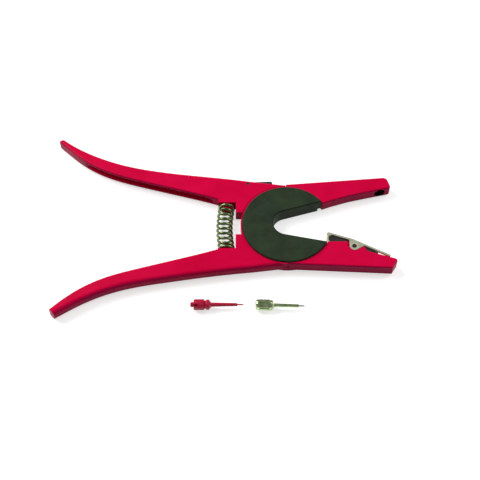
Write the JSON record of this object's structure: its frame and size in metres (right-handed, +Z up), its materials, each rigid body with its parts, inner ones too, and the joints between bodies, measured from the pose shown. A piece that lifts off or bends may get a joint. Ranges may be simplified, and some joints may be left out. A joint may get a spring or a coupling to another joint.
{
  "type": "ear tag applicator",
  "caption": "Plier-like applicator for livestock ear tags, with crossed levers on a notched hub, a return spring, a rocking tag clip and loose pins.",
  "frame": {"origin": "the levers' turning axis, on the plane that the tool lies on", "axes": "+X from the hub to the jaws, +Y from the lower handle to the upper one, +Z up, out of the hub's front disc"},
  "size_m": [0.2472, 0.1508, 0.0123],
  "materials": {
    "red_enamel": "gloss",
    "hub_black": "satin",
    "washer_plastic": "matte",
    "screw_steel": "satin",
    "spring_steel": "satin",
    "black_plastic": "satin",
    "clip_steel": "polished",
    "black_rubber": "matte",
    "red_plastic": "gloss",
    "needle_steel": "polished",
    "pin_steel": "satin"
  },
  "bodies": {
    "lower_side": {"lower_lever": "red_enamel", "hub_eyelet": "hub_black", "hub_back_plate": "hub_black", "hub_washer": "washer_plastic", "hub_screws": "screw_steel", "return_spring": "spring_steel", "red_pin": "red_plastic", "red_pin_needle": "needle_steel", "steel_pin": "pin_steel", "steel_pin_needle": "needle_steel"},
    "upper_side": {"upper_lever": "red_enamel", "lid_hinge_pin": "screw_steel", "clip_pivot_pin": "black_plastic", "tag_pad": "black_rubber", "clip_rubber": "black_rubber"},
    "lid": {"store_lid": "black_plastic"},
    "clip": {"tag_clip": "clip_steel"}
  },
  "joints": [
    {"name": "lever_squeeze", "type": "hinge", "parent": "lower_side", "child": "upper_side", "pos_m": [0, 0, 0], "axis": [0, 0, 1], "range_deg": [0, 20], "stiffness_Nm_per_rad": 9, "springref_deg": -9.74, "deforming": ["return_spring"]},
    {"name": "store_lid_hinge", "type": "hinge", "parent": "upper_side", "child": "lid", "pos_m": [-0.028, 0.036, 0], "axis": [0, 0, 1], "range_deg": [0, 100]},
    {"name": "clip_rock", "type": "hinge", "parent": "upper_side", "child": "clip", "pos_m": [0.0473, -0.0183, 0], "axis": [0, 0, 1], "range_deg": [0, 10], "stiffness_Nm_per_rad": 0.9, "springref_deg": -5.73, "deforming": ["clip_rubber"]}
  ]
}
